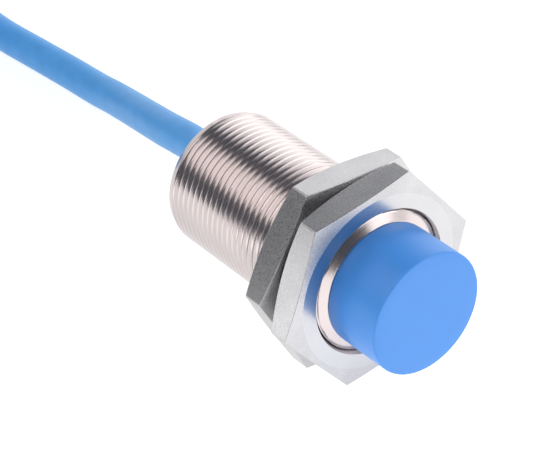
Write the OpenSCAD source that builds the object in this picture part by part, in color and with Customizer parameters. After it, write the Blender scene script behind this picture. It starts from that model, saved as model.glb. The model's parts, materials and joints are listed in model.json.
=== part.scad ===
// Cylindrical inductive proximity sensor: threaded barrel, sensing cap in front, two hex nuts and a cable.
// The sensor lies along X. The origin is the centre of the sensing face, and +X is the sensing direction.

/* [Barrel] */
// Outer diameter of the threaded barrel
thread_d = 18; // [17.8:0.1:18.4]
// Length of the threaded barrel
barrel_length = 30; // [29:0.5:34]
// Thickness of the barrel wall, from its bore to the thread's crests
barrel_wall = 1.6; // [1.5:0.05:1.7]
// Radial width of the long chamfer on the barrel's rear rim
rear_chamfer = 0.3; // [0.2:0.05:0.4]
// Radial width of the chamfer on the barrel's front rim
front_chamfer = 1.15; // [0.9:0.05:1.15]

/* [Sensing cap] */
// Diameter of the cap in front of the barrel
cap_d = 15.6; // [15.4:0.1:15.8]
// Length of the cap in front of the barrel
cap_length = 8; // [7.5:0.25:9]
// Thickness of the cap's front wall
cap_front_wall = 1.2; // [1:0.1:1.4]
// Rounding of the cap's front edge
cap_edge = 0.3; // [0.2:0.05:0.5]

/* [Nuts] */
// Width of a nut across its flats
nut_flats = 24; // [23:0.5:27]
// Thickness of a nut
nut_thickness = 4; // [3.5:0.5:5]
// Distance from the barrel's front end back to the front nut's face
nut_setback = 0.2; // [0.1:0.1:1]
// Gap between the two nuts
nut_gap = 0.4; // [0.3:0.1:1]
// Angle that each nut is turned away from lying flat, in opposite directions
nut_turn = 5.85; // [3:0.05:8]

/* [Cable] */
// Diameter of the cable's jacket
cable_d = 4.8; // [4.6:0.1:5]
// Length of the hank that the cable is folded into
hank_length = 100; // [90:1:104]

/* [Electronics] */
// Length of the circuit board
board_length = 21; // [20:0.5:22]
// Width of the circuit board
board_width = 12.4; // [11.6:0.2:12.6]
// Thickness of the circuit board
board_thickness = 1; // [0.8:0.1:1.2]

/* [Hidden] */
$fn = 96;
eps = 0.5; // how far a cutting solid runs past the face that it cuts

// Barrel and cap
thread_r = thread_d / 2;
bore_r = thread_r - barrel_wall;
barrel_front_x = -cap_length;
barrel_rear_x = barrel_front_x - barrel_length;
front_chamfer_depth = front_chamfer * tan(30);
rear_chamfer_length = 1;
cap_r = cap_d / 2;
spigot_length = 4;
spigot_rear_x = barrel_front_x - spigot_length;
cap_bore_r = bore_r - 0.55;

// Nuts
nut_corner_r = nut_flats / sqrt(3);
nut_bore_r = thread_r + 0.05;
nut_mouth_r = thread_r + 0.4;
nut_chamfer_r = 0.47 * nut_flats; // outer edge of the flat ring on each face
nut_chamfer_angle = 9;
nut_back_chamfer_angle = 22;
front_nut_x = barrel_front_x - nut_setback;
rear_nut_x = front_nut_x - nut_thickness - nut_gap;
surface_z = -nut_corner_r * sin(60 + nut_turn); // the surface that the sensor lies on

// Sensing coil: a pot core, a bobbin in its channel and the winding on the bobbin
core_front_x = -cap_front_wall;
core_length = 4.6;
core_back_wall = 1.2;
core_rear_x = core_front_x - core_length;
core_r = cap_bore_r - 0.05;
core_channel_r = 5.5;
core_post_r = 2.9;
core_post_hole_r = 1;
bobbin_gap = 0.05;
bobbin_wall = 0.4;
bobbin_front_x = core_front_x - bobbin_gap;
bobbin_rear_x = core_rear_x + core_back_wall + bobbin_gap;
winding_front_x = bobbin_front_x - bobbin_wall;
winding_rear_x = bobbin_rear_x + bobbin_wall;
winding_inner_r = core_post_r + bobbin_wall;
winding_outer_r = core_channel_r - 0.35;

// Insulated cores of the cable, which run straight from the jacket on to the circuit board
core_wire_r = 0.7;
core_wire_y = 1;
conductor_r = 0.35;

// Holder and circuit board
holder_rear_x = core_rear_x - 1.6;
board_front_x = core_rear_x - 0.6;
board_rear_x = board_front_x - board_length;
board_top_z = -core_wire_r - 0.1;
board_bottom_z = board_top_z - board_thickness;

// The winding's two leads, which run back on to the board
lead_r = 0.12;
lead_hole_r = 0.3;
lead_y = 4.2;
lead_z = board_top_z + lead_r + 0.05;
lead_rear_x = board_front_x - 3;

// Parts on the board, by their distance behind the board's front edge
chip_x = board_front_x - 8.5;
chip_length = 4.9;
chip_width = 3.9;
chip_height = 1.4;
chip_lift = 0.15;
chip_pins = 4;
pin_pitch = 1.27;
transistor_x = board_front_x - 13.4;
diode_x = board_front_x - 13.4;
capacitor_x = board_front_x - 8;
resistor_x = board_front_x - 16.6;

// Rear end: plug, grommet, crimp ring and the cable's end
cable_r = cable_d / 2;
plug_front_x = barrel_rear_x + 5;
plug_recess = 0.2;
collar_r = cable_r + 1.3;
collar_rear_x = barrel_rear_x - 1.5;
grommet_length = 2.4;
grommet_r = cable_r + 1.4;
crimp_length = 2;
crimp_r = cable_r + 0.35;
jacket_front_x = plug_front_x + crimp_length + 0.5;

core_wire_front_x = board_rear_x + 1.4;
pad_x = board_rear_x + 2.4;

// Sleeve and potting
sleeve_r = bore_r - 0.02;
sleeve_wall = 0.35;
potting_r = sleeve_r - sleeve_wall;

// Hank of cable: an oval of two columns of turns, up the outer one and down the inner one, and two ties
hank_x = -162;
hank_y = -8.8;
hank_turns = 4.25; // in each column
hank_outer_turn_r = 4 * cable_d; // at the ends of the oval
hank_inner_turn_r = 3 * cable_d;
hank_outer_r = hank_outer_turn_r + cable_r;
hank_inner_r = hank_inner_turn_r - cable_r;
hank_half_run = hank_length / 2 - hank_outer_r;
hank_height = (hank_turns + 1) * cable_d;
tie_thickness = 1;
tie_width = 2.5;
tie_x = 12;
hank_low_z = surface_z + tie_thickness;
hank_first_z = hank_low_z + cable_r;

// Route of the cable from the sensor's rear end to the hank, as points on its centre line
cable_z = surface_z + cable_r;
lead_route = [
  [collar_rear_x, 0, 0], [-40.5, 0, 0], [-42.5, 0.4, 0], [-45, 1.2, -0.3], [-48, 1.9, -0.8],
  [-52, 2.4, -1.7], [-56, 3.1, -2.9], [-60, 3.9, -4.1], [-64, 4.8, -5.4], [-68, 5.7, -6.7],
  [-72, 6.5, -7.9], [-76, 7.1, -8.9], [-80, 7.4, -9.7], [-84, 7.5, -10.1], [-88, 7.4, cable_z],
  [-96, 6.8, cable_z], [-104, 6.2, cable_z],
  [-110, 6.3, cable_z], [-116, 7.1, cable_z + 0.2], [-122, 8.5, cable_z + 0.6], [-128, 9.8, cable_z + 0.9],
  [hank_x + hank_half_run, hank_y + hank_outer_turn_r, hank_first_z]
];

// The cable's tail: it leaves the inner column at the bottom and lies inside the hank (x from its centre)
tail_y = -8;
tail_start_x = -hank_half_run;
tail_end_x = 6;
tail_steps = 12;
core_end_x = 26;
core_end_z = surface_z + core_wire_r;
core_spread = 1.6; // from the tail's middle line to each core's bare tip
core_tip_length = 5.5;

// Closed tube between two places on the X axis
module ring_x(x_rear, x_front, r_outer, r_inner) {
  translate([x_rear, 0, 0])
    rotate([0, 90, 0])
      difference() {
        cylinder(h = x_front - x_rear, r = r_outer);
        translate([0, 0, -eps])
          cylinder(h = x_front - x_rear + 2 * eps, r = r_inner);
      }
}

// Solid rod between two places along X, with its axis at y and z
module rod_x(x_rear, x_front, r, y = 0, z = 0) {
  translate([x_rear, y, z])
    rotate([0, 90, 0])
      cylinder(h = x_front - x_rear, r = r);
}

// Solid turned about the X axis from an outline of [radius, x] points
module turned_x(outline) {
  rotate([0, 90, 0])
    rotate_extrude()
      polygon(outline);
}

// Block centred on y, from x_rear to x_front, standing on z
module block_x(x_rear, x_front, y, width, z, height) {
  translate([x_rear, y - width / 2, z])
    cube([x_front - x_rear, width, height]);
}

function unit(v) = v / norm(v);

// Share of the way from one value to another, starting and ending gently
function eased(value, low, high) =
  let (share = min(1, max(0, (value - low) / (high - low))))
  share * share * (3 - 2 * share);

// Direction of a route at point i, from the points on either side of it
function heading(route, i) =
  unit(route[min(i + 1, len(route) - 1)] - route[max(i - 1, 0)]);

// One ring of a tube's corners, square to the route
function tube_ring(route, i, r, sides) =
  let (
    ahead = heading(route, i),
    across = unit(cross(ahead, [0, 0, 1])),
    above = cross(across, ahead)
  )
  [for (k = [0 : sides - 1]) route[i] + r * (cos(360 * k / sides) * across + sin(360 * k / sides) * above)];

// Tube swept along a route
module swept_tube(route, r, sides = 8) {
  last = (len(route) - 1) * sides;
  corners = [for (i = [0 : len(route) - 1]) each tube_ring(route, i, r, sides)];
  walls = [
    for (ring = [0 : sides : last - sides])
      for (k = [0 : sides - 1])
        let (next = (k + 1) % sides)
        each [
          [ring + k, ring + next, ring + sides + next],
          [ring + k, ring + sides + next, ring + sides + k]
        ]
  ];
  first_end = [for (k = [1 : sides - 2]) [0, k + 1, k]];
  last_end = [for (k = [1 : sides - 2]) [last, last + k, last + k + 1]];
  polyhedron(points = corners, faces = concat(walls, first_end, last_end));
}

module threaded_barrel() {
  color("gainsboro")
    turned_x([
      [bore_r, barrel_rear_x],
      [thread_r - rear_chamfer, barrel_rear_x],
      [thread_r, barrel_rear_x + rear_chamfer_length],
      [thread_r, barrel_front_x - front_chamfer_depth],
      [thread_r - front_chamfer, barrel_front_x],
      [bore_r, barrel_front_x]
    ]);
}

module sensing_cap() {
  color("royalblue")
    difference() {
      rotate([0, 90, 0])
        rotate_extrude()
          union() {
            translate([0, spigot_rear_x])
              square([bore_r, spigot_length]);
            translate([0, barrel_front_x])
              square([cap_r, cap_length - cap_edge]);
            translate([0, -2 * cap_edge])
              square([cap_r - cap_edge, 2 * cap_edge]);
            translate([cap_r - cap_edge, -cap_edge])
              circle(r = cap_edge);
          }
      rod_x(spigot_rear_x - eps, -cap_front_wall, cap_bore_r);
    }
}

// Hex nut, chamfered from a flat ring outwards, more on its back; its front face is at x = 0
module hex_nut(turn) {
  mouth_depth = nut_mouth_r - nut_bore_r;
  past_corner_r = nut_corner_r + 0.01;
  chamfer_width = past_corner_r - nut_chamfer_r;
  intersection() {
    translate([-nut_thickness, 0, 0])
      rotate([0, 90, 0])
        rotate([0, 0, turn - 90])
          cylinder(h = nut_thickness, r = nut_corner_r, $fn = 6);
    turned_x([
      [nut_bore_r, mouth_depth - nut_thickness],
      [nut_mouth_r, -nut_thickness],
      [nut_chamfer_r, -nut_thickness],
      [past_corner_r, chamfer_width * tan(nut_back_chamfer_angle) - nut_thickness],
      [past_corner_r, -chamfer_width * tan(nut_chamfer_angle)],
      [nut_chamfer_r, 0],
      [nut_mouth_r, 0],
      [nut_bore_r, -mouth_depth]
    ]);
  }
}

module front_nut() {
  color("silver")
    translate([front_nut_x, 0, 0])
      hex_nut(nut_turn);
}

module rear_nut() {
  color("silver")
    translate([rear_nut_x, 0, 0])
      hex_nut(-nut_turn);
}

// Holes for the winding's two leads, between two places along X
module lead_holes(x_rear, x_front) {
  for (side = [-1, 1])
    rod_x(x_rear, x_front, lead_hole_r, side * lead_y, lead_z);
}

// Pot core, open towards the sensing face
module ferrite_core() {
  color("dimgray")
    difference() {
      ring_x(core_rear_x, core_front_x, core_r, core_post_hole_r);
      ring_x(core_rear_x + core_back_wall, core_front_x + eps, core_channel_r, core_post_r);
      lead_holes(core_rear_x - eps, core_rear_x + core_back_wall + eps);
    }
}

module coil_bobbin() {
  color("ivory")
    difference() {
      ring_x(bobbin_rear_x, bobbin_front_x, core_channel_r - bobbin_gap, core_post_r + bobbin_gap);
      ring_x(winding_rear_x, winding_front_x, core_channel_r + eps, winding_inner_r);
      lead_holes(bobbin_rear_x - eps, winding_rear_x + eps);
    }
}

module sensing_coil() {
  color("peru")
    ring_x(winding_rear_x, winding_front_x, winding_outer_r, winding_inner_r);
}

// The two ends of the winding, led back to the circuit board
module coil_leads() {
  color("peru")
    for (side = [-1, 1])
      rod_x(lead_rear_x, winding_rear_x, lead_r, side * lead_y, lead_z);
}

// Disc behind the core, with a slot that holds the front edge of the circuit board
module core_holder() {
  color("darkslategray")
    difference() {
      rod_x(holder_rear_x, core_rear_x, core_r);
      block_x(holder_rear_x - eps, board_front_x, 0, board_width, board_bottom_z, board_thickness);
      lead_holes(holder_rear_x - eps, core_rear_x + eps);
    }
}

module circuit_board() {
  color("darkgreen")
    block_x(board_rear_x, board_front_x, 0, board_width, board_bottom_z, board_thickness);
}

// Part with its own length, width and height, centred at x and y on the board's top face
module board_part(x, y, size) {
  block_x(x - size[0] / 2, x + size[0] / 2, y, size[1], board_top_z, size[2]);
}

module oscillator_chip() {
  pins_start = chip_x - (chip_pins - 1) / 2 * pin_pitch;
  color("black") {
    translate([0, 0, chip_lift])
      board_part(chip_x, 0, [chip_length, chip_width, chip_height]);
    for (side = [-1, 1])
      for (k = [0 : chip_pins - 1])
        board_part(pins_start + k * pin_pitch, side * (chip_width / 2 + 0.5), [0.4, 1.1, 0.45]);
  }
}

module transistors() {
  color("black")
    for (side = [-1, 1])
      board_part(transistor_x, side * 4.2, [2.9, 1.4, 1]);
}

// Chip capacitors, in two rows on the board's lower face
module capacitors() {
  color("tan")
    for (k = [0 : 2])
      for (side = [-1, 1])
        translate([0, 0, -board_thickness - 1])
          board_part(capacitor_x - 3 * k, side * 2.6, [2, 1.25, 1]);
}

// Chip resistors, in one row across the board
module resistors() {
  color("black")
    for (k = [-2 : 2])
      board_part(resistor_x, 2.2 * k, [1.6, 0.85, 0.45]);
}

module protection_diode() {
  color("dimgray")
    board_part(diode_x, 0, [3.4, 2.4, 1.6]);
}

// Cone of solder on a pad
module solder_joint(x, y, r_pad, height) {
  translate([x, y, board_top_z])
    cylinder(h = height, r1 = r_pad, r2 = 0.7 * r_pad);
}

module solder_joints() {
  color("silver")
    difference() {
      for (side = [-1, 1]) {
        solder_joint(lead_rear_x + 0.3, side * lead_y, 0.6, 0.4);
        solder_joint(pad_x, side * core_wire_y, 0.8, -board_top_z);
      }
      coil_leads();
      conductor_ends();
    }
}

module insulating_sleeve() {
  color("whitesmoke")
    ring_x(plug_front_x, spigot_rear_x, sleeve_r, potting_r);
}

// Everything that the potting flows round
module potted_parts() {
  circuit_board();
  oscillator_chip();
  transistors();
  capacitors();
  resistors();
  protection_diode();
  solder_joints();
  coil_leads();
  conductor_ends();
  brown_core();
  blue_core();
  cable_entry();
  crimp_ring();
}

module potting_compound() {
  color("darkorange")
    difference() {
      turned_x([
        [0, plug_front_x],
        [potting_r, plug_front_x],
        [potting_r, spigot_rear_x],
        [cap_bore_r, spigot_rear_x],
        [cap_bore_r, holder_rear_x],
        [0, holder_rear_x]
      ]);
      potted_parts();
    }
}

// Plug that closes the barrel's rear end, with a pocket for the grommet and a short collar round the cable
module rear_plug() {
  plug_rear_x = barrel_rear_x + plug_recess;
  pocket_x = plug_front_x - grommet_length;
  color("royalblue")
    turned_x([
      [cable_r, collar_rear_x],
      [collar_r - 0.4, collar_rear_x],
      [collar_r, collar_rear_x + 0.4],
      [collar_r, plug_rear_x],
      [bore_r, plug_rear_x],
      [bore_r, plug_front_x],
      [grommet_r, plug_front_x],
      [grommet_r, pocket_x],
      [cable_r, pocket_x]
    ]);
}

module cable_grommet() {
  color("black")
    ring_x(plug_front_x - grommet_length, plug_front_x, grommet_r, cable_r);
}

module crimp_ring() {
  color("goldenrod")
    ring_x(plug_front_x, plug_front_x + crimp_length, crimp_r, cable_r);
}

// The end of the cable's jacket, inside the plug, the grommet and the crimp ring
module cable_entry() {
  color("dodgerblue")
    rod_x(collar_rear_x, jacket_front_x, cable_r);
}

// Insulated core between the jacket's end and its pad
module inner_core(side) {
  rod_x(jacket_front_x, core_wire_front_x, core_wire_r, side * core_wire_y);
}

module brown_core() {
  color("saddlebrown")
    inner_core(1);
}

module blue_core() {
  color("blue")
    inner_core(-1);
}

// Bare ends of the two cores, soldered to the board
module conductor_ends() {
  color("silver")
    for (side = [-1, 1])
      rod_x(core_wire_front_x, pad_x + 0.5, conductor_r, side * core_wire_y);
}

// The stretch of cable between the sensor and the hank
module cable_lead() {
  color("dodgerblue")
    swept_tube(lead_route, cable_r);
}

// Section through the hank's bundle of turns, from its inner side outwards
module bundle_section() {
  bundle_width = hank_outer_r - hank_inner_r;
  translate([hank_inner_r, 0]) {
    translate([cable_r, 0])
      square([bundle_width - cable_d, hank_height]);
    translate([0, cable_r])
      square([bundle_width, hank_height - cable_d]);
    for (x = [cable_r, bundle_width - cable_r])
      for (z = [cable_r, hank_height - cable_r])
        translate([x, z])
          circle(r = cable_r);
  }
}

// The outer shape of the hank: two straight runs joined by half circles
module cable_hank() {
  color("dodgerblue")
    translate([hank_x, hank_y, hank_low_z])
      for (turn = [0, 180])
        rotate([0, 0, turn]) {
          translate([hank_half_run, 0, 0])
            rotate([0, 0, -90])
              rotate_extrude(angle = 180)
                bundle_section();
          translate([-hank_half_run, 0, 0])
            rotate([90, 0, 90])
              linear_extrude(2 * hank_half_run)
                bundle_section();
        }
}

// Two flat ties, one round each run; the hank lies on them
module hank_ties() {
  bundle_width = hank_outer_r - hank_inner_r;
  color("white")
    translate([hank_x, hank_y, surface_z])
      for (turn = [0, 180])
        rotate([0, 0, turn])
          translate([-tie_x - tie_width / 2, hank_inner_r, 0])
            difference() {
              translate([0, -tie_thickness, 0])
                cube([tie_width, bundle_width + 2 * tie_thickness, hank_height + 2 * tie_thickness]);
              translate([-eps, 0, tie_thickness])
                cube([tie_width + 2 * eps, bundle_width, hank_height]);
            }
}

// The end of the cable, which drifts inwards off the inner column and down on to the surface
module cable_tail() {
  color("dodgerblue")
    swept_tube([
      for (i = [0 : tail_steps])
        let (x = tail_start_x + (tail_end_x - tail_start_x) * i / tail_steps)
        [
          hank_x + x,
          hank_y - hank_inner_turn_r + (tail_y + hank_inner_turn_r) * eased(x, tail_start_x, tail_end_x),
          hank_first_z + (cable_z - hank_first_z) * eased(x, tail_start_x, tail_end_x)
        ]
    ], cable_r);
}

// One insulated core, from the end of the jacket down on to the surface and along it
module core_end(side) {
  swept_tube([
    for (x = [tail_end_x : 2.5 : core_end_x])
      [
        hank_x + x,
        hank_y + tail_y + side * core_wire_y
          + side * (core_spread - core_wire_y) * eased(x, tail_end_x, core_end_x),
        cable_z + (core_end_z - cable_z) * eased(x, tail_end_x, tail_end_x + 12)
      ]
  ], core_wire_r);
}

module brown_core_end() {
  color("saddlebrown")
    core_end(1);
}

module blue_core_end() {
  color("blue")
    core_end(-1);
}

// Bare, tinned tips of the two cores
module core_tips() {
  color("silver")
    translate([hank_x, hank_y + tail_y, core_end_z])
      for (side = [-1, 1])
        rod_x(core_end_x, core_end_x + core_tip_length, conductor_r, side * core_spread);
}

threaded_barrel();
sensing_cap();
front_nut();
rear_nut();
ferrite_core();
coil_bobbin();
sensing_coil();
coil_leads();
core_holder();
circuit_board();
oscillator_chip();
transistors();
capacitors();
resistors();
protection_diode();
conductor_ends();
solder_joints();
insulating_sleeve();
potting_compound();
rear_plug();
cable_grommet();
crimp_ring();
cable_entry();
brown_core();
blue_core();
cable_lead();
cable_hank();
hank_ties();
cable_tail();
brown_core_end();
blue_core_end();
core_tips();
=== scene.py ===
"""Looks of a cylindrical inductive proximity sensor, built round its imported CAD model.

The sensor lies along X with the centre of its sensing face at the origin. Blender works in metres, so
sizes are in millimetres times MM. The cable's route is in metres, and outlines for lathe() are in plain
millimetres.
"""

import json
import math

import bmesh
import bpy
from mathutils import Matrix, Vector


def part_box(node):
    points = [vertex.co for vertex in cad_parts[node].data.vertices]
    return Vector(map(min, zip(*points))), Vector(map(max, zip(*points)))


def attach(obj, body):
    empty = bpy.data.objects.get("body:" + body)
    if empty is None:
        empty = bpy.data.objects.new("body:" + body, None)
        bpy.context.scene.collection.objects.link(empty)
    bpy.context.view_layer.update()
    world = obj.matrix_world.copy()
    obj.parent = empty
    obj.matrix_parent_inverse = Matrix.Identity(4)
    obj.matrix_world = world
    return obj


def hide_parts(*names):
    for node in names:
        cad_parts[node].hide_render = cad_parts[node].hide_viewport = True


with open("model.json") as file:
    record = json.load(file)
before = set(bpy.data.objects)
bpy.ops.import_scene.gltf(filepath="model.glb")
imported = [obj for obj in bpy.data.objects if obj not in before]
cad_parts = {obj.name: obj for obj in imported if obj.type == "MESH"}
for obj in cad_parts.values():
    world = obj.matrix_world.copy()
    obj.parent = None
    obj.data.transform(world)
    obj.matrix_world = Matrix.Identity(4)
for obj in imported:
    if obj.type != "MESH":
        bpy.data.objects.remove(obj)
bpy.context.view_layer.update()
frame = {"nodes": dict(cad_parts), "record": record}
MM = 0.001

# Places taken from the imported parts. The hank's ties lie on the surface.
barrel_low, barrel_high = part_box("threaded_barrel")
hank_low, hank_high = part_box("cable_hank")
surface_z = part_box("hank_ties")[0].z

# Cable
CABLE_D = 4.8 * MM
CABLE_R = CABLE_D / 2
CORE_R = 0.7 * MM
CABLE_Z = surface_z + CABLE_R
LEAD_ROUTE = [
    (-0.0395, 0, 0), (-0.0405, 0, 0), (-0.0425, 0.0004, 0), (-0.045, 0.0012, -0.0003),
    (-0.048, 0.0019, -0.0008), (-0.052, 0.0024, -0.0017), (-0.056, 0.0031, -0.0029),
    (-0.060, 0.0039, -0.0041), (-0.064, 0.0048, -0.0054), (-0.068, 0.0057, -0.0067),
    (-0.072, 0.0065, -0.0079), (-0.076, 0.0071, -0.0089), (-0.080, 0.0074, -0.0097),
    (-0.084, 0.0075, -0.0101), (-0.088, 0.0074, CABLE_Z), (-0.096, 0.0068, CABLE_Z),
    (-0.104, 0.0062, CABLE_Z), (-0.110, 0.0063, CABLE_Z), (-0.116, 0.0071, CABLE_Z + 0.0002),
    (-0.122, 0.0085, CABLE_Z + 0.0006), (-0.128, 0.0098, CABLE_Z + 0.0009),
]

# Hank: an oval of two columns of turns, wound up the outer one and down the inner one. The end of the cable
# and its two cores lie inside it, at places counted from its centre.
HANK_CENTRE = (hank_low + hank_high) / 2
HANK_TURNS = 4.25
OUTER_TURN_R = 4 * CABLE_D
INNER_TURN_R = 3 * CABLE_D
HALF_RUN = (hank_high.x - hank_low.x) / 2 - OUTER_TURN_R - CABLE_R
FIRST_Z = hank_low.z + CABLE_R
# Share of a turn over which the cable crosses from the outer column to the inner one
CROSSING = 0.12
TIE_THICKNESS = 1.0 * MM
TIE_WIDTH = 2.5 * MM
TIE_X = 12 * MM
TAIL_Y = -8 * MM
TAIL_END_X = 6 * MM
CORE_END_X = 26 * MM
CORE_APART = 1.0 * MM
CORE_SPREAD = 1.6 * MM
# Stretch over which the cores come down from the jacket's middle to the surface
CORE_DROP = 12 * MM
CORE_TIP_LENGTH = 5.5 * MM
# How far a core starts inside its jacket, and its bare strands inside its insulation
HIDDEN_END = 0.5 * MM
STRAND_R = 0.13 * MM
STRAND_APART = 0.25 * MM
STRANDS_ROUND = 6


# ---------------------------------------------------------------- camera


def direction(azimuth, elevation):
    """Unit vector to an azimuth from +X towards +Y and an elevation above the level, in degrees."""
    az, el = math.radians(azimuth), math.radians(elevation)
    return Vector((math.cos(el) * math.cos(az), math.cos(el) * math.sin(az), math.sin(el)))


def facing(aim, away, distance):
    """Placing of a camera or light that looks at a point from a direction and a distance."""
    turn = (-away).to_track_quat("-Z", "Y").to_matrix().to_4x4()
    return Matrix.Translation(aim + away * distance) @ turn


def add_camera():
    """Camera at the photograph's viewing angle: in front, above and to one side, with a small roll."""
    aim = Vector((-18.79, -7.15, 6.33)) * MM
    azimuth, elevation, roll = -33.8, 36.2, -6.47
    distance = 235.26 * MM
    camera = bpy.data.objects.new("camera", bpy.data.cameras.new("camera"))
    bpy.context.scene.collection.objects.link(camera)
    level_placing = facing(aim, direction(azimuth, elevation), distance)
    camera.matrix_world = level_placing @ Matrix.Rotation(math.radians(roll), 4, "Z")
    camera.data.sensor_width = 36
    camera.data.lens = 136.15
    camera.data.clip_start = 0.005
    camera.data.clip_end = 20
    bpy.context.scene.camera = camera


add_camera()


# ---------------------------------------------------------------- materials

materials = {}


def new_material(name):
    """Node tree and empty principled shader of a new material, which is kept by its name."""
    material = bpy.data.materials.new(name)
    material.use_nodes = True
    materials[name] = material
    return material.node_tree, material.node_tree.nodes["Principled BSDF"]


def place(tree, stretch=(1, 1, 1)):
    """The piece's own coordinates, in metres, stretched along X, Y and Z."""
    coordinates = tree.nodes.new("ShaderNodeTexCoord")
    mapping = tree.nodes.new("ShaderNodeMapping")
    mapping.inputs["Scale"].default_value = stretch
    tree.links.new(coordinates.outputs["Object"], mapping.inputs["Vector"])
    return mapping.outputs["Vector"]


def noise(tree, size, detail=3, stretch=(1, 1, 1)):
    """Factor of a noise whose patches are about `size` metres across."""
    node = tree.nodes.new("ShaderNodeTexNoise")
    node.inputs["Scale"].default_value = 1 / size
    node.inputs["Detail"].default_value = detail
    tree.links.new(place(tree, stretch), node.inputs["Vector"])
    return node.outputs["Fac"]


def spread(tree, factor, low, high):
    """A factor's middle range, spread from one value to another."""
    node = tree.nodes.new("ShaderNodeMapRange")
    node.inputs["From Min"].default_value = 0.3
    node.inputs["From Max"].default_value = 0.7
    node.inputs["To Min"].default_value = low
    node.inputs["To Max"].default_value = high
    tree.links.new(factor, node.inputs["Value"])
    return node.outputs["Result"]


def blend_colors(tree, factor, first, second):
    """Colour between two others."""
    node = tree.nodes.new("ShaderNodeMix")
    node.data_type = "RGBA"
    node.inputs["A"].default_value = (*first, 1)
    node.inputs["B"].default_value = (*second, 1)
    tree.links.new(factor, node.inputs["Factor"])
    return node.outputs["Result"]


def add_bump(tree, shader, heights):
    """Bumps on the shader's surface, from (height factor, depth in metres) pairs."""
    normal = None
    for factor, depth in heights:
        node = tree.nodes.new("ShaderNodeBump")
        node.inputs["Strength"].default_value = 1
        node.inputs["Distance"].default_value = depth
        tree.links.new(factor, node.inputs["Height"])
        if normal:
            tree.links.new(normal, node.inputs["Normal"])
        normal = node.outputs["Normal"]
    tree.links.new(normal, shader.inputs["Normal"])


def shade(color, amount):
    """A colour made darker or lighter."""
    return tuple(min(1.0, c * amount) for c in color)


def add_mottle(tree, shader, color, mottle, factor):
    """Surface colour that wanders a little darker and lighter."""
    darker, lighter = shade(color, 1 - mottle), shade(color, 1 + mottle)
    mottled = blend_colors(tree, spread(tree, factor, 0, 1), darker, lighter)
    tree.links.new(mottled, shader.inputs["Base Color"])


def add_metal(name, color, roughness, grain=0.2 * MM, grain_depth=0.0, stretch=(1, 1, 1), mottle=0.06):
    """Bare or plated metal with uneven gloss, faint tarnish and waves, and an optional grain."""
    tree, shader = new_material(name)
    shader.inputs["Metallic"].default_value = 1
    tarnish, waves = noise(tree, 4 * MM, 4), noise(tree, 1.5 * MM, 2)
    wave_depth = 0.004 * MM
    add_mottle(tree, shader, color, mottle, tarnish)
    gloss = spread(tree, noise(tree, grain, 4, stretch), roughness * 0.75, roughness * 1.25)
    tree.links.new(gloss, shader.inputs["Roughness"])
    heights = [(waves, wave_depth)]
    if grain_depth:
        heights.append((noise(tree, grain, 3, stretch), grain_depth))
    add_bump(tree, shader, heights)


def add_plastic(name, color, roughness, grain=0.12 * MM, mottle=0.05, specular=0.5, coat=0.0):
    """Moulded or extruded plastic with a fine grain and slightly uneven colour."""
    tree, shader = new_material(name)
    shader.inputs["Specular IOR Level"].default_value = specular
    shader.inputs["Coat Weight"].default_value = coat
    patches, bumps = noise(tree, 2.5 * MM), noise(tree, grain)
    bump_depth = 0.004 * MM
    add_mottle(tree, shader, color, mottle, patches)
    gloss = spread(tree, noise(tree, grain), roughness * 0.85, roughness * 1.15)
    tree.links.new(gloss, shader.inputs["Roughness"])
    add_bump(tree, shader, [(bumps, bump_depth)])


NUT_COLOR = (0.50, 0.495, 0.505)
POLISHED_COLOR = shade(NUT_COLOR, 1.05)
# The barrel's turning marks and the coil's wires run round the X axis
TURNING_MARKS = (1, 0.01, 0.01)
WIRES = (1, 0.02, 0.02)

add_metal("plated_barrel", (0.60, 0.53, 0.525), 0.2, grain=0.05 * MM, grain_depth=0.0006 * MM,
          stretch=TURNING_MARKS, mottle=0.03)
add_metal("plated_nut", NUT_COLOR, 0.3, grain=0.16 * MM, grain_depth=0.007 * MM)
add_metal("polished_plating", POLISHED_COLOR, 0.22, grain=0.05 * MM, grain_depth=0.0004 * MM, mottle=0.02)
add_metal("copper_wire", (0.80, 0.38, 0.17), 0.28, grain=0.1 * MM, grain_depth=0.01 * MM, stretch=WIRES)
add_metal("tinned_copper", (0.72, 0.71, 0.70), 0.3, grain=0.1 * MM, grain_depth=0.002 * MM)
add_metal("solder", (0.68, 0.68, 0.69), 0.22, grain=0.3 * MM, grain_depth=0.004 * MM)
add_metal("crimp_metal", (0.75, 0.52, 0.24), 0.3)
add_plastic("blue_plastic", (0.058, 0.28, 0.78), 0.42, mottle=0.015)
add_plastic("blue_jacket", (0.098, 0.35, 0.74), 0.4, grain=0.25 * MM, specular=0.15)
add_plastic("brown_insulation", (0.16, 0.06, 0.025), 0.4)
add_plastic("blue_insulation", (0.03, 0.12, 0.50), 0.4)
add_plastic("tie_plastic", (0.80, 0.79, 0.74), 0.4, grain=0.3 * MM)
add_plastic("ferrite", (0.055, 0.055, 0.06), 0.6, grain=0.08 * MM)
add_plastic("bobbin_plastic", (0.75, 0.72, 0.62), 0.45)
add_plastic("holder_plastic", (0.03, 0.035, 0.035), 0.5)
add_plastic("board_laminate", (0.02, 0.17, 0.07), 0.35, grain=0.4 * MM, coat=0.3)
add_plastic("chip_plastic", (0.02, 0.02, 0.022), 0.55)
add_plastic("capacitor_ceramic", (0.42, 0.30, 0.18), 0.5)
add_plastic("resistor_ceramic", (0.03, 0.03, 0.035), 0.3, coat=0.4)
add_plastic("sleeve_film", (0.72, 0.72, 0.66), 0.4)
add_plastic("potting_resin", (0.50, 0.20, 0.04), 0.25, grain=0.8 * MM, coat=0.3)
add_plastic("grommet_rubber", (0.02, 0.02, 0.02), 0.7, grain=0.1 * MM)

for part in frame["record"]["subparts"]:
    skin = frame["nodes"][part["node"]].data.materials
    skin.clear()
    skin.append(materials[part["material_slot"]])


# ---------------------------------------------------------------- mesh helpers

TURNED_SIDES = 160


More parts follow.
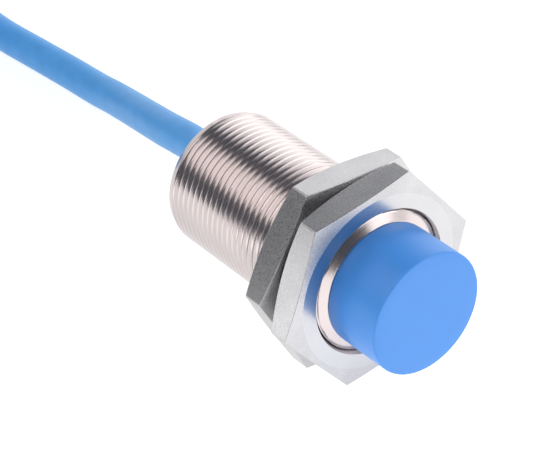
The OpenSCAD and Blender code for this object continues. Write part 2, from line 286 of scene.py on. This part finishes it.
def eased(value, low, high):
    """Share of the way from low to high, starting and ending gently."""
    share = min(1.0, max(0.0, (value - low) / (high - low)))
    return share * share * (3 - 2 * share)


def on_axis(x, r, angle):
    """Point at a place along X, a distance from the X axis and an angle in radians from +Y towards +Z."""
    return Vector((x, r * math.cos(angle), r * math.sin(angle)))


def new_object(name, points, faces, skins, face_skins=None, sharp_angle=32):
    """Mesh object with its double points merged, and sharp edges where faces meet at more than an angle."""
    merge_distance = 1e-7
    mesh = bpy.data.meshes.new(name)
    mesh.from_pydata([tuple(p) for p in points], [], faces)
    for skin in skins:
        mesh.materials.append(skin)
    if face_skins:
        mesh.polygons.foreach_set("material_index", face_skins)
    shape = bmesh.new()
    shape.from_mesh(mesh)
    bmesh.ops.remove_doubles(shape, verts=shape.verts, dist=merge_distance)
    bmesh.ops.dissolve_degenerate(shape, edges=shape.edges, dist=merge_distance)
    bmesh.ops.recalc_face_normals(shape, faces=shape.faces)
    for face in shape.faces:
        face.smooth = True
    for edge in shape.edges:
        if len(edge.link_faces) == 2 and edge.calc_face_angle() > math.radians(sharp_angle):
            edge.smooth = False
    shape.to_mesh(mesh)
    shape.free()
    made = bpy.data.objects.new(name, mesh)
    bpy.context.scene.collection.objects.link(made)
    return made


def ring_faces(rings, sides, closed_loft=False):
    """Faces between each ring of points and the next."""
    faces = []
    for ring in range(rings if closed_loft else rings - 1):
        here, after = ring * sides, (ring + 1) % rings * sides
        for side in range(sides):
            beside = (side + 1) % sides
            faces.append((here + side, here + beside, after + beside, after + side))
    return faces


def lathe(name, outline, skin, closed=True, sharp_angle=32):
    """Piece turned about the X axis from an outline of (x, r) points in millimetres."""
    points = []
    for x, r in outline:
        points += [on_axis(x * MM, r * MM, math.tau * k / TURNED_SIDES) for k in range(TURNED_SIDES)]
    faces = ring_faces(len(outline), TURNED_SIDES, closed)
    return new_object(name, points, faces, [skin], sharp_angle=sharp_angle)


def arc(centre_x, centre_r, r, start, end, steps=6):
    """Points of an arc in an (x, r) outline, with angles in degrees from +x towards +r."""
    angles = [math.radians(start + (end - start) * k / steps) for k in range(steps + 1)]
    return [(centre_x + r * math.cos(a), centre_r + r * math.sin(a)) for a in angles]


def smooth_route(points, steps=4):
    """Points of a smooth curve that passes through every given point."""
    points = [Vector(p) for p in points]
    route = []
    for i in range(len(points) - 1):
        start, end = points[i], points[i + 1]
        before = points[max(i - 1, 0)]
        after = points[min(i + 2, len(points) - 1)]
        for k in range(steps):
            t = k / steps
            pull = (2 * before - 5 * start + 4 * end - after) * t ** 2
            twist = (3 * start - before - 3 * end + after) * t ** 3
            route.append(0.5 * (2 * start + (end - before) * t + pull + twist))
    return route + [points[-1]]


def tube(name, route, r, skin, sides, rounding):
    """Round tube along a route, with closed, slightly rounded ends."""
    last = len(route) - 1
    headings = [(route[min(i + 1, last)] - route[max(i - 1, 0)]).normalized() for i in range(last + 1)]
    first_heading, last_heading = headings[0], headings[-1]
    stations = [
        (route[0], first_heading, 0),
        (route[0], first_heading, r - rounding),
        (route[0] + first_heading * rounding, first_heading, r),
    ]
    stations += [(route[i], headings[i], r) for i in range(1, last)]
    stations += [
        (route[-1] - last_heading * rounding, last_heading, r),
        (route[-1], last_heading, r - rounding),
        (route[-1], last_heading, 0),
    ]
    across = first_heading.cross(Vector((0, 0, 1)))
    points = []
    for point, heading, ring_r in stations:
        across = (across - heading * across.dot(heading)).normalized()
        above = across.cross(heading)
        for k in range(sides):
            angle = math.tau * k / sides
            points.append(point + ring_r * (math.cos(angle) * across + math.sin(angle) * above))
    return new_object(name, points, ring_faces(len(stations), sides), [skin], sharp_angle=50)


# ---------------------------------------------------------------- cable


def hank_point(turned, r, z):
    """Point after some turns of the hank's oval: run, half circle of a radius r, run, half circle."""
    quarter, share = divmod(turned % 1 * 4, 1)
    way = 1 if quarter < 2 else -1
    if quarter % 2 == 0:
        x, y = way * HALF_RUN * (1 - 2 * share), way * r
    else:
        angle = math.pi * share
        x, y = -way * (HALF_RUN + r * math.sin(angle)), way * r * math.cos(angle)
    return Vector((HANK_CENTRE.x + x, HANK_CENTRE.y + y, z))


def hank_route(steps=40):
    """Centre line of the turns: up the outer column, over its top and down the inner column."""
    crossing_start, crossing_end = HANK_TURNS - CROSSING / 2, HANK_TURNS + CROSSING / 2
    # The height is averaged over a short stretch, which rounds the kinks where it starts and turns back
    shifts = [0.004 * k for k in range(-5, 6)]
    route = []
    for i in range(int(2 * HANK_TURNS * steps) + 1):
        turned = i / steps
        r = OUTER_TURN_R + (INNER_TURN_R - OUTER_TURN_R) * eased(turned, crossing_start, crossing_end)
        levels = [HANK_TURNS - abs(HANK_TURNS - max(0, turned + shift)) for shift in shifts]
        route.append(hank_point(turned, r, FIRST_Z + CABLE_D * max(0, sum(levels) / len(levels))))
    return route


def tail_point(x, side=0):
    """Point of the cable's end inside the hank, or of one of its two cores, at a place along the hank."""
    start_x = -HALF_RUN
    y = TAIL_Y - (INNER_TURN_R + TAIL_Y) * (1 - eased(x, start_x, TAIL_END_X))
    z = FIRST_Z + (CABLE_Z - FIRST_Z) * eased(x, start_x, TAIL_END_X)
    if side:
        y += side * (CORE_APART + (CORE_SPREAD - CORE_APART) * eased(x, TAIL_END_X, CORE_END_X))
        z += (surface_z + CORE_R - CABLE_Z) * eased(x, TAIL_END_X, TAIL_END_X + CORE_DROP)
    return Vector((HANK_CENTRE.x + x, HANK_CENTRE.y + y, z))


def between(low, high, steps):
    """Evenly spaced values from low to high."""
    return [low + (high - low) * k / steps for k in range(steps + 1)]


def make_core_end(node, side, slot):
    """Insulated core, from just inside the end of the jacket to its stripped end."""
    route = [tail_point(x, side) for x in between(TAIL_END_X - HIDDEN_END, CORE_END_X, 20)]
    core = tube(f"{node}_wire", route, CORE_R, materials[slot], sides=14, rounding=0.1 * MM)
    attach(core, "barrel")
    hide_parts(node)
    return core


def make_core_tips():
    """Bare, tinned ends of both cores, each a bundle of seven twisted strands."""
    places = between(CORE_END_X - HIDDEN_END, CORE_END_X + CORE_TIP_LENGTH, 24)
    steps_per_twist = 20
    points, faces = [], []
    for side in (1, -1):
        for strand in range(STRANDS_ROUND + 1):
            away = 0 if strand == STRANDS_ROUND else STRAND_APART
            route = []
            for i, x in enumerate(places):
                angle = math.tau * (strand / STRANDS_ROUND + i / steps_per_twist)
                route.append(tail_point(x, side) + away * Vector((0, math.cos(angle), math.sin(angle))))
            piece = tube("strand", route, STRAND_R, materials["tinned_copper"], sides=8, rounding=0.04 * MM)
            start = len(points)
            points += [v.co.copy() for v in piece.data.vertices]
            faces += [tuple(start + v for v in p.vertices) for p in piece.data.polygons]
            bpy.data.objects.remove(piece)
    tips = new_object("core_tips_twisted", points, faces, [materials["tinned_copper"]], sharp_angle=50)
    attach(tips, "barrel")
    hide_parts("core_tips")
    return tips


def tie_frame(turn):
    """Placing of a tie, whose own +Y points away from the hank's middle line."""
    to_hank = Matrix.Translation((HANK_CENTRE.x, HANK_CENTRE.y, 0))
    return to_hank @ Matrix.Rotation(math.radians(turn), 4, "Z") @ Matrix.Translation((-TIE_X, 0, 0))


def make_tie(name, turn):
    """Flat tie round one run of the hank, with rounded corners."""
    corner = CABLE_R * 0.8
    corner_steps = 6
    inner_y, outer_y = INNER_TURN_R - CABLE_R + corner, OUTER_TURN_R + CABLE_R - corner
    low_z, high_z = hank_low.z + corner, hank_high.z - corner
    # The corners' centres, each with the angle where its quarter turn starts
    centres = [(outer_y, high_z, 0), (inner_y, high_z, 90), (inner_y, low_z, 180), (outer_y, low_z, 270)]
    half = TIE_WIDTH / 2
    thick = TIE_THICKNESS
    soft = 0.15 * MM
    # The strap's cross-section, with its edges a little broken
    section = [
        (0, -half + soft), (0, half - soft), (soft, half), (thick - soft, half),
        (thick, half - soft), (thick, -half + soft), (thick - soft, -half), (soft, -half),
    ]
    points = []
    for y, z, start in centres:
        for k in range(corner_steps + 1):
            angle = math.radians(start + 90 * k / corner_steps)
            for lift, across in section:
                out = corner + lift
                local = Vector((across, y + out * math.cos(angle), z + out * math.sin(angle)))
                points.append(tie_frame(turn) @ local)
    faces = ring_faces(len(centres) * (corner_steps + 1), len(section), closed_loft=True)
    strap = new_object(name, points, faces, [materials["tie_plastic"]], sharp_angle=40)
    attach(strap, "barrel")
    return strap


def make_tie_lock(name, turn):
    """Lock of a tie: a rounded block on top of the strap, with the strap's cut end beyond it."""
    middle_y = (INNER_TURN_R + OUTER_TURN_R) / 2
    # Each block's place outwards from the strap's middle and up from the hank, its size and its rounding
    blocks = [
        (-1 * MM, 1.1 * MM, (4.4 * MM, 4.2 * MM, 2.0 * MM), 0.5 * MM),
        (2.6 * MM, 1.45 * MM, (2.4 * MM, 4 * MM, 0.9 * MM), 0.12 * MM),
    ]
    shape = bmesh.new()
    for out, up, size, rounding in blocks:
        centre = Vector((0, middle_y + out, hank_high.z + up))
        placing = tie_frame(turn) @ Matrix.Translation(centre) @ Matrix.Diagonal((*size, 1))
        block = bmesh.ops.create_cube(shape, size=1, matrix=placing)
        edges = {edge for vertex in block["verts"] for edge in vertex.link_edges}
        bmesh.ops.bevel(shape, geom=list(edges), offset=rounding, segments=3, affect="EDGES", profile=0.5)
    shape.verts.index_update()
    points = [v.co.copy() for v in shape.verts]
    faces = [tuple(v.index for v in f.verts) for f in shape.faces]
    shape.free()
    lock = new_object(name, points, faces, [materials["tie_plastic"]], sharp_angle=40)
    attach(lock, "barrel")
    return lock


def make_cable():
    """The whole cable as one cord, with its ties, its two cores and their tips."""
    route = smooth_route([*LEAD_ROUTE, hank_point(0, OUTER_TURN_R, FIRST_Z)])[:-1] + hank_route()
    route += [tail_point(x) for x in between(-HALF_RUN, TAIL_END_X, 12)][1:]
    cable = tube("cable", route, CABLE_R, materials["blue_jacket"], sides=24, rounding=0.25 * MM)
    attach(cable, "barrel")
    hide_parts("cable_lead", "cable_hank", "cable_tail")
    brown = make_core_end("brown_core_end", 1, "brown_insulation")
    blue = make_core_end("blue_core_end", -1, "blue_insulation")
    tips = make_core_tips()
    straps = [make_tie(f"tie_strap_{k}", turn) for k, turn in enumerate((0, 180))]
    locks = [make_tie_lock(f"tie_lock_{k}", turn) for k, turn in enumerate((0, 180))]
    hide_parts("hank_ties")


make_cable()


# ---------------------------------------------------------------- barrel

THREAD_PITCH = 1.0 * MM
THREAD_RUNOUT = 0.3 * MM
BARREL_BORE_R = 7.4 * MM
REAR_TAPER_LENGTH = 1.0 * MM
REAR_TAPER = 0.3 * MM
REAR_TAPER_CURVE = 1.2
FRONT_CHAMFER = 1.15 * MM
FRONT_CHAMFER_SLOPE = math.tan(math.radians(30))
# Outline of one pitch of the thread, as shares of the pitch and depths: a rounded crest and a narrow groove
CREST_SHARE = 0.7
CREST_DROP = 0.018 * MM
THREAD_OUTLINE = [(CREST_SHARE * k / 8, CREST_DROP * (k / 4 - 1) ** 2) for k in range(9)]
THREAD_OUTLINE += [
    (0.735, 0.08 * MM), (0.795, 0.18 * MM), (0.825, 0.205 * MM), (0.875, 0.205 * MM), (0.905, 0.18 * MM),
    (0.965, 0.08 * MM),
]


def make_barrel():
    """Barrel with a right-hand thread over its length, a tapered rear rim and a chamfered front rim."""
    crest_r = barrel_high.z
    rear_x, front_x = barrel_low.x, barrel_high.x
    rear_edge_x = rear_x + REAR_TAPER_LENGTH
    front_edge_x = front_x - FRONT_CHAMFER * FRONT_CHAMFER_SLOPE
    pitches = round((front_x - rear_x) / THREAD_PITCH) + 2
    snap = 0.02 * THREAD_PITCH

    def outer_r(x, depth):
        """Radius at a place along the barrel, a depth below the crest where the thread is whole."""
        depth *= eased(x, rear_edge_x, rear_edge_x + THREAD_RUNOUT)
        into_rim = max(0, rear_edge_x - x) / REAR_TAPER_LENGTH
        rear_r = crest_r - REAR_TAPER * into_rim ** REAR_TAPER_CURVE
        front_r = crest_r - max(0, x - front_edge_x) / FRONT_CHAMFER_SLOPE
        return min(crest_r - depth, rear_r, front_r)

    points = []
    for side in range(TURNED_SIDES + 1):
        angle = math.tau * side / TURNED_SIDES
        for pitch in range(pitches):
            for share, depth in THREAD_OUTLINE:
                x = rear_x + THREAD_PITCH * (pitch - 1 + share + side / TURNED_SIDES)
                x = min(front_x, max(rear_x, x))
                # A point that is nearly on the edge of a rim goes onto it, so the edge comes out clean
                for edge_x in (rear_edge_x, front_edge_x):
                    if abs(x - edge_x) < snap:
                        x = edge_x
                points.append(on_axis(x, outer_r(x, depth), angle))
        points.append(on_axis(front_x, BARREL_BORE_R, angle))
        points.append(on_axis(rear_x, BARREL_BORE_R, angle))
    faces = ring_faces(TURNED_SIDES + 1, pitches * len(THREAD_OUTLINE) + 2)
    skins = [materials["plated_barrel"]]
    barrel = new_object("threaded_barrel_turned", points, faces, skins, sharp_angle=50)
    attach(barrel, "barrel")
    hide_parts("threaded_barrel")


make_barrel()


# ---------------------------------------------------------------- cap and plug


def make_cap():
    """Moulded cup: closed in front with a rounded edge, and a spigot behind that sits in the barrel."""
    floor_x, shoulder_x, rear_x = -1.2, -8, -12
    cap_r, spigot_r, inner_r = 7.8, 7.4, 6.85
    edge_r, lead_in = 0.3, 0.1
    inner_corner = arc(floor_x - edge_r, inner_r - edge_r, edge_r, 0, 90, 3)
    front_edge = arc(-edge_r, cap_r - edge_r, edge_r, 90, 0)
    inside = [(floor_x, 0), (floor_x, 6.5), *inner_corner, (rear_x, inner_r)]
    spigot = [(rear_x, spigot_r - lead_in), (rear_x + lead_in, spigot_r), (shoulder_x, spigot_r)]
    side = [(shoulder_x, cap_r - lead_in), (shoulder_x + lead_in, cap_r), (-4, cap_r)]
    face = [(0, 6), (0, 3), (0, 0)]
    outline = inside + spigot + side + front_edge + face
    cap = lathe("sensing_cap_moulded", outline, materials["blue_plastic"], closed=False, sharp_angle=60)
    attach(cap, "barrel")
    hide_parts("sensing_cap")


def make_plug():
    """Plug in the barrel's rear end, with a collar round the cable, a raised rim and a pocket inside."""
    end_x, rim_x, face_x, pocket_x, front_x = -39.5, -37.95, -37.8, -35.4, -33
    hole_r, pocket_r, plug_r = 2.4, 3.8, 7.38
    edge_r, fillet_r = 0.4, 0.3
    collar_end = [(end_x, hole_r), (end_x, 3.0), *arc(end_x + edge_r, 3.3, edge_r, 180, 90, 4)]
    collar_foot = [(-38.3, 3.75), *arc(face_x - fillet_r, 4.05, fillet_r, 270, 360, 3)]
    face = [(face_x, 4.4), (face_x, 6.6), (rim_x, 6.75), (rim_x, 7.2), (face_x, plug_r)]
    pocket = [(front_x, plug_r), (front_x, pocket_r), (pocket_x, pocket_r), (pocket_x, hole_r)]
    outline = collar_end + collar_foot + face + pocket
    plug = lathe("rear_plug_moulded", outline, materials["blue_plastic"], sharp_angle=35)
    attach(plug, "barrel")
    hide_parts("rear_plug")


make_cap()
make_plug()


# ---------------------------------------------------------------- nuts

NUT_FLATS = 24 * MM
# Degrees that each nut is turned from where it has a corner at +Y, one nut each way
NUT_TURN = 5.85
NUT_BORE_R = 9.03 * MM
NUT_MOUTH_R = 9.4 * MM
NUT_MOUTH_DEPTH = 0.8 * MM
# On each face a flat ring round the bore, and a cone from there outwards
NUT_RING_R = 11.28 * MM
NUT_FRONT_SLOPE = math.tan(math.radians(9))
NUT_BACK_SLOPE = math.tan(math.radians(22))
# The flats' edges are broken in two small steps, and the hexagon's corners are rounded
NUT_EDGE = 0.07 * MM
NUT_FIRST_STEP = 0.3 * NUT_EDGE
NUT_CORNER_R = 0.22 * MM


def hexagon(flats, flat_steps=22, corner_steps=4):
    """Corners and flats of a rounded hexagon round the X axis, as (y, z) points."""
    outline = []
    corner_distance = (flats / 2 - NUT_CORNER_R) / math.cos(math.radians(30))
    for k in range(6):
        middle = math.radians(60 * k)
        centre = Vector((math.cos(middle), math.sin(middle))) * corner_distance
        for step in range(corner_steps + 1):
            angle = middle + math.radians(-30 + 60 * step / corner_steps)
            outline.append(centre + NUT_CORNER_R * Vector((math.cos(angle), math.sin(angle))))
        following = math.radians(60 * (k + 1))
        next_centre = Vector((math.cos(following), math.sin(following))) * corner_distance
        outward = Vector((math.cos(middle + math.radians(30)), math.sin(middle + math.radians(30))))
        start, end = centre + NUT_CORNER_R * outward, next_centre + NUT_CORNER_R * outward
        outline += [start.lerp(end, step / flat_steps) for step in range(1, flat_steps)]
    return outline


def make_nut(name, node, turn):
    """Hex nut, chamfered from a flat ring outwards on both faces, with its edges a little rounded."""
    low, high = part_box(node)
    front_x, rear_x = high.x, low.x
    outer = hexagon(NUT_FLATS)
    inset = hexagon(NUT_FLATS - 2 * NUT_EDGE)
    middle = hexagon(NUT_FLATS - 2 * NUT_FIRST_STEP)
    directions = [math.atan2(p.y, p.x) for p in outer]

    def circle(x, r):
        """Ring of points round the bore, one for each point of the hexagon."""
        return [on_axis(x, r, angle) for angle in directions]

    def front_edge(corners, back):
        """Points on the cone of the front face, or a small step behind it."""
        return [Vector((front_x - (p.length - NUT_RING_R) * NUT_FRONT_SLOPE - back, *p)) for p in corners]

    def back_edge(corners, front):
        """Points on the cone of the back face, or a small step in front of it."""
        return [Vector((rear_x + (p.length - NUT_RING_R) * NUT_BACK_SLOPE + front, *p)) for p in corners]

    satin, bright = 0, 1
    # Rings round the nut, each with the finish of the faces between it and the next
    rings = [
        (front_edge(inset, 0), satin),
        (front_edge(middle, NUT_FIRST_STEP), satin),
        (front_edge(outer, NUT_EDGE), satin),
        (back_edge(outer, NUT_EDGE), satin),
        (back_edge(middle, NUT_FIRST_STEP), satin),
        (back_edge(inset, 0), satin),
        (circle(rear_x, NUT_RING_R), bright),
        (circle(rear_x, NUT_MOUTH_R), satin),
        (circle(rear_x + NUT_MOUTH_DEPTH, NUT_BORE_R), satin),
        (circle(front_x - NUT_MOUTH_DEPTH, NUT_BORE_R), satin),
        (circle(front_x, NUT_MOUTH_R), bright),
        (circle(front_x, NUT_RING_R), satin),
    ]
    rotation = Matrix.Rotation(math.radians(turn), 4, "X")
    points = [rotation @ p for ring, _ in rings for p in ring]
    finishes = [finish for _, finish in rings for _ in outer]
    faces = ring_faces(len(rings), len(outer), closed_loft=True)
    skins = [materials["plated_nut"], materials["polished_plating"]]
    nut = new_object(name, points, faces, skins, finishes, sharp_angle=7)
    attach(nut, node)
    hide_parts(node)


make_nut("front_nut_plated", "front_nut", NUT_TURN)
make_nut("rear_nut_plated", "rear_nut", -NUT_TURN)


# ---------------------------------------------------------------- floor, light and surroundings


def add_floor():
    """Pale sheet under the sensor, lit partly from within like a light table, and most in front of it."""
    rear_x, front_x = -400 * MM, 300 * MM
    right_y, left_y = -300 * MM, 350 * MM
    points = [(rear_x, right_y), (front_x, right_y), (front_x, left_y), (rear_x, left_y)]
    tree, shader = new_material("floor")
    shader.inputs["Base Color"].default_value = (0.4, 0.4, 0.4, 1)
    shader.inputs["Roughness"].default_value = 0.9
    shader.inputs["Specular IOR Level"].default_value = 0
    shader.inputs["Emission Color"].default_value = (1, 1, 1, 1)
    along = tree.nodes.new("ShaderNodeSeparateXYZ")
    tree.links.new(place(tree), along.inputs["Vector"])
    glow = tree.nodes.new("ShaderNodeMapRange")
    glow.interpolation_type = "SMOOTHSTEP"
    glow.inputs["From Min"].default_value = -25 * MM
    glow.inputs["From Max"].default_value = 5 * MM
    glow.inputs["To Min"].default_value = 0.78
    glow.inputs["To Max"].default_value = 1.25
    tree.links.new(along.outputs["X"], glow.inputs["Value"])
    tree.links.new(glow.outputs["Result"], shader.inputs["Emission Strength"])
    corners = [(x, y, surface_z) for x, y in points]
    floor = new_object("floor", corners, [(0, 1, 2, 3)], [materials["floor"]])


def add_panel(name, azimuth, elevation, distance, width, height, brightness, color=(1, 1, 1)):
    """Soft rectangular light that faces the sensor; brightness is how bright its surface looks."""
    middle = Vector((-20 * MM, 0, 0))
    light = bpy.data.lights.new(name, "AREA")
    light.shape = "RECTANGLE"
    light.size = width
    light.size_y = height
    light.energy = brightness * math.pi * width * height
    light.color = color
    panel = bpy.data.objects.new(name, light)
    bpy.context.scene.collection.objects.link(panel)
    panel.matrix_world = facing(middle, direction(azimuth, elevation), distance)
    panel.visible_camera = False


def add_surroundings():
    """Studio round the object: white at its +Y side and its back, dim elsewhere, white to the camera."""
    dim, white = (0.085, 0.095, 0.115), (1.0, 1.0, 1.0)
    world = bpy.data.worlds.new("studio")
    bpy.context.scene.world = world
    world.use_nodes = True
    tree = world.node_tree
    tree.nodes.clear()
    coordinates = tree.nodes.new("ShaderNodeTexCoord")
    parts = tree.nodes.new("ShaderNodeSeparateXYZ")
    tree.links.new(coordinates.outputs["Generated"], parts.inputs["Vector"])
    pale = tree.nodes.new("ShaderNodeMath")
    pale.operation = "MAXIMUM"
    # Where the dim part ends and the white part starts, along each axis of the direction looked in
    fades = [("Y", 0.25, 0.85), ("X", -0.86, -0.96)]
    for k, (axis, start, end) in enumerate(fades):
        side = tree.nodes.new("ShaderNodeMapRange")
        side.interpolation_type = "SMOOTHSTEP"
        side.inputs["From Min"].default_value = start
        side.inputs["From Max"].default_value = end
        tree.links.new(parts.outputs[axis], side.inputs["Value"])
        tree.links.new(side.outputs["Result"], pale.inputs[k])
    lit = tree.nodes.new("ShaderNodeBackground")
    tree.links.new(blend_colors(tree, pale.outputs["Value"], dim, white), lit.inputs["Color"])
    seen = tree.nodes.new("ShaderNodeBackground")
    seen.inputs["Color"].default_value = (*white, 1)
    ray = tree.nodes.new("ShaderNodeLightPath")
    mix = tree.nodes.new("ShaderNodeMixShader")
    tree.links.new(ray.outputs["Is Camera Ray"], mix.inputs["Fac"])
    tree.links.new(lit.outputs["Background"], mix.inputs[1])
    tree.links.new(seen.outputs["Background"], mix.inputs[2])
    output = tree.nodes.new("ShaderNodeOutputWorld")
    tree.links.new(mix.outputs["Shader"], output.inputs["Surface"])


add_floor()
add_panel("panel_back", 129, 21, 500 * MM, 600 * MM, 420 * MM, brightness=0.72)
add_panel("panel_side", -138, 41, 500 * MM, 420 * MM, 310 * MM, brightness=1.15, color=(1.0, 0.93, 0.88))
add_panel("panel_front", 50, 32, 600 * MM, 600 * MM, 500 * MM, brightness=1.5)
add_panel("panel_top", -80, 56, 600 * MM, 400 * MM, 400 * MM, brightness=3.2)
# A small card beside the nuts, which shows in the front nut's left flat
add_panel("panel_near", -110, 0, 58.5 * MM, 32 * MM, 24 * MM, brightness=0.8)
add_surroundings()
bpy.context.scene.view_settings.view_transform = "Standard"
